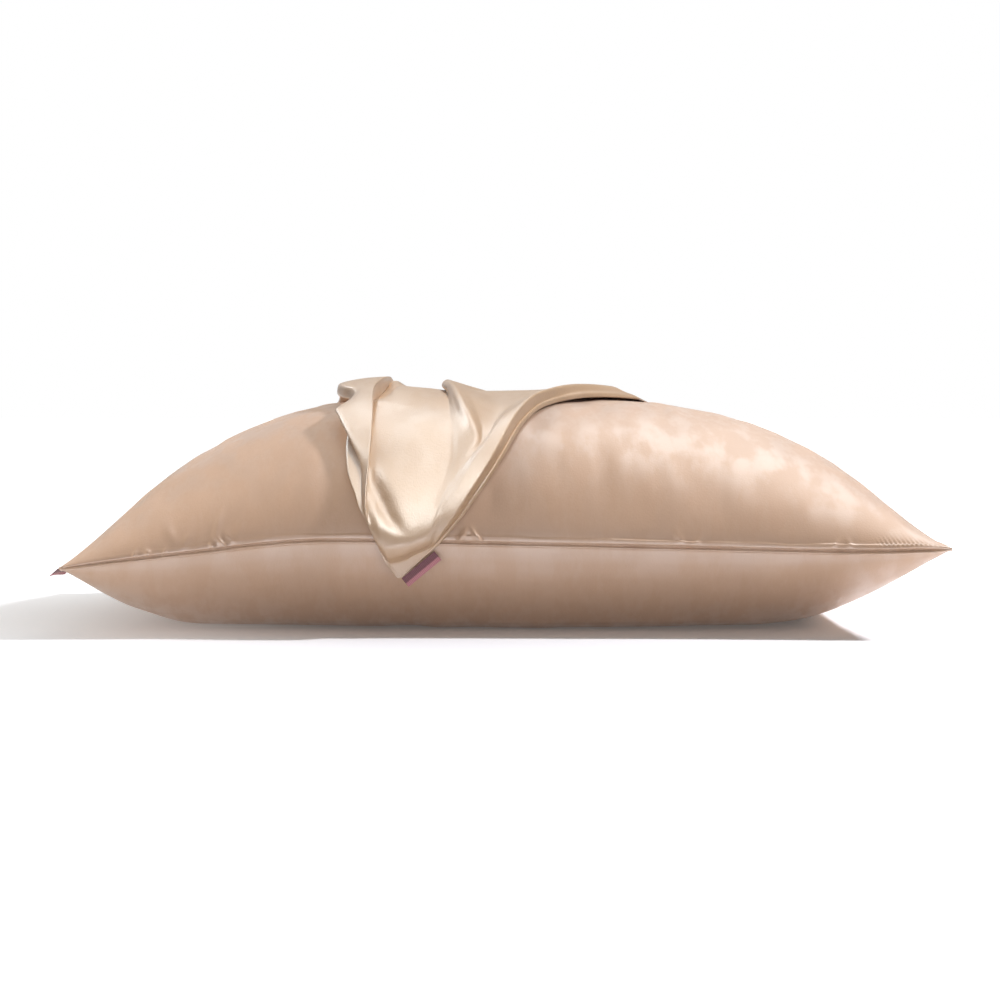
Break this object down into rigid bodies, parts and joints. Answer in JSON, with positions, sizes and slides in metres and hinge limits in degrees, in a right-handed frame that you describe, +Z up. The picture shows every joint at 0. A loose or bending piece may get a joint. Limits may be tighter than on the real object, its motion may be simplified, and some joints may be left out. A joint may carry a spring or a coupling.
{
  "type": "filled pillowcase with a second pillowcase draped over it",
  "caption": "Satin pillowcase filled with a soft pillow, lying flat, and an empty matching case that falls over its middle with one corner hanging at the front.",
  "frame": {"origin": "on the surface it lies on, under the middle of the filled case", "axes": "+X along the filled case's length, towards its right tip; +Y from the front, where the draped corner hangs, to the back; +Z up"},
  "size_m": [0.6504, 0.596, 0.1901],
  "materials": {
    "satin": "champagne satin, smooth face with a soft broad sheen",
    "satin_pale": "the same champagne satin, single empty case, with a brighter sheen on its folds",
    "label_ribbon": "dusty pink woven ribbon with a darker upper band, blank"
  },
  "bodies": {
    "root": {"filled_case": "satin", "draped_case": "satin_pale", "filled_case_label": "label_ribbon", "draped_case_label": "label_ribbon"}
  },
  "joints": []
}
